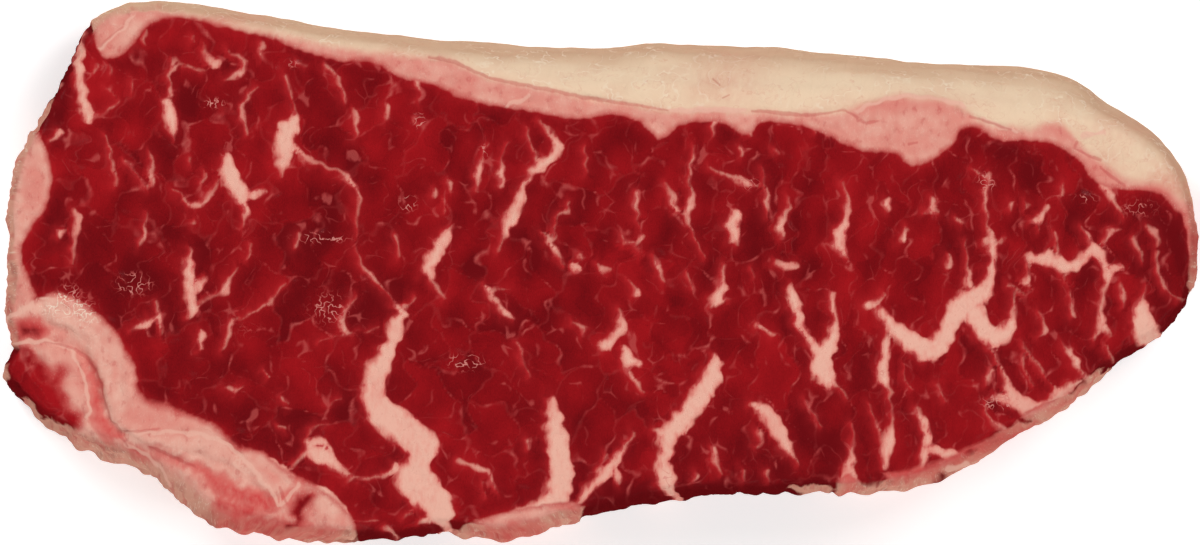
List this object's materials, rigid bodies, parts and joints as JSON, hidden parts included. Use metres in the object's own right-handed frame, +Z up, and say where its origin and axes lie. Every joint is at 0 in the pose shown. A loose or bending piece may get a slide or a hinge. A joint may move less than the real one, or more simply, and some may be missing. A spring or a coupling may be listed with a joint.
{
  "type": "raw beef steak",
  "caption": "Raw strip loin steak slice: marbled red lean, a thick cream fat cap along one long edge, a folded fat seam at one end, flat underside.",
  "frame": {"origin": "Centre of the bounding box in plan, on the flat underside", "axes": "+X along the slice towards its rounded nose, +Y towards the thick fat cap, +Z up out of the cut face"},
  "size_m": [0.2294, 0.1034, 0.0264],
  "materials": {
    "lean": "moist raw beef lean with cream marbling",
    "corner_lean": "moist raw beef side muscle",
    "cap_fat": "cream outer fat skin, pink where cut",
    "cut_fat": "pink cut fat with pale gristle"
  },
  "bodies": {
    "root": {"lean_eye": "lean", "corner_muscle": "corner_lean", "fat_cap": "cap_fat", "end_fat": "cut_fat", "seam_fat": "cut_fat", "lower_edge_fat": "cut_fat", "nose_fat": "cut_fat"}
  },
  "joints": []
}
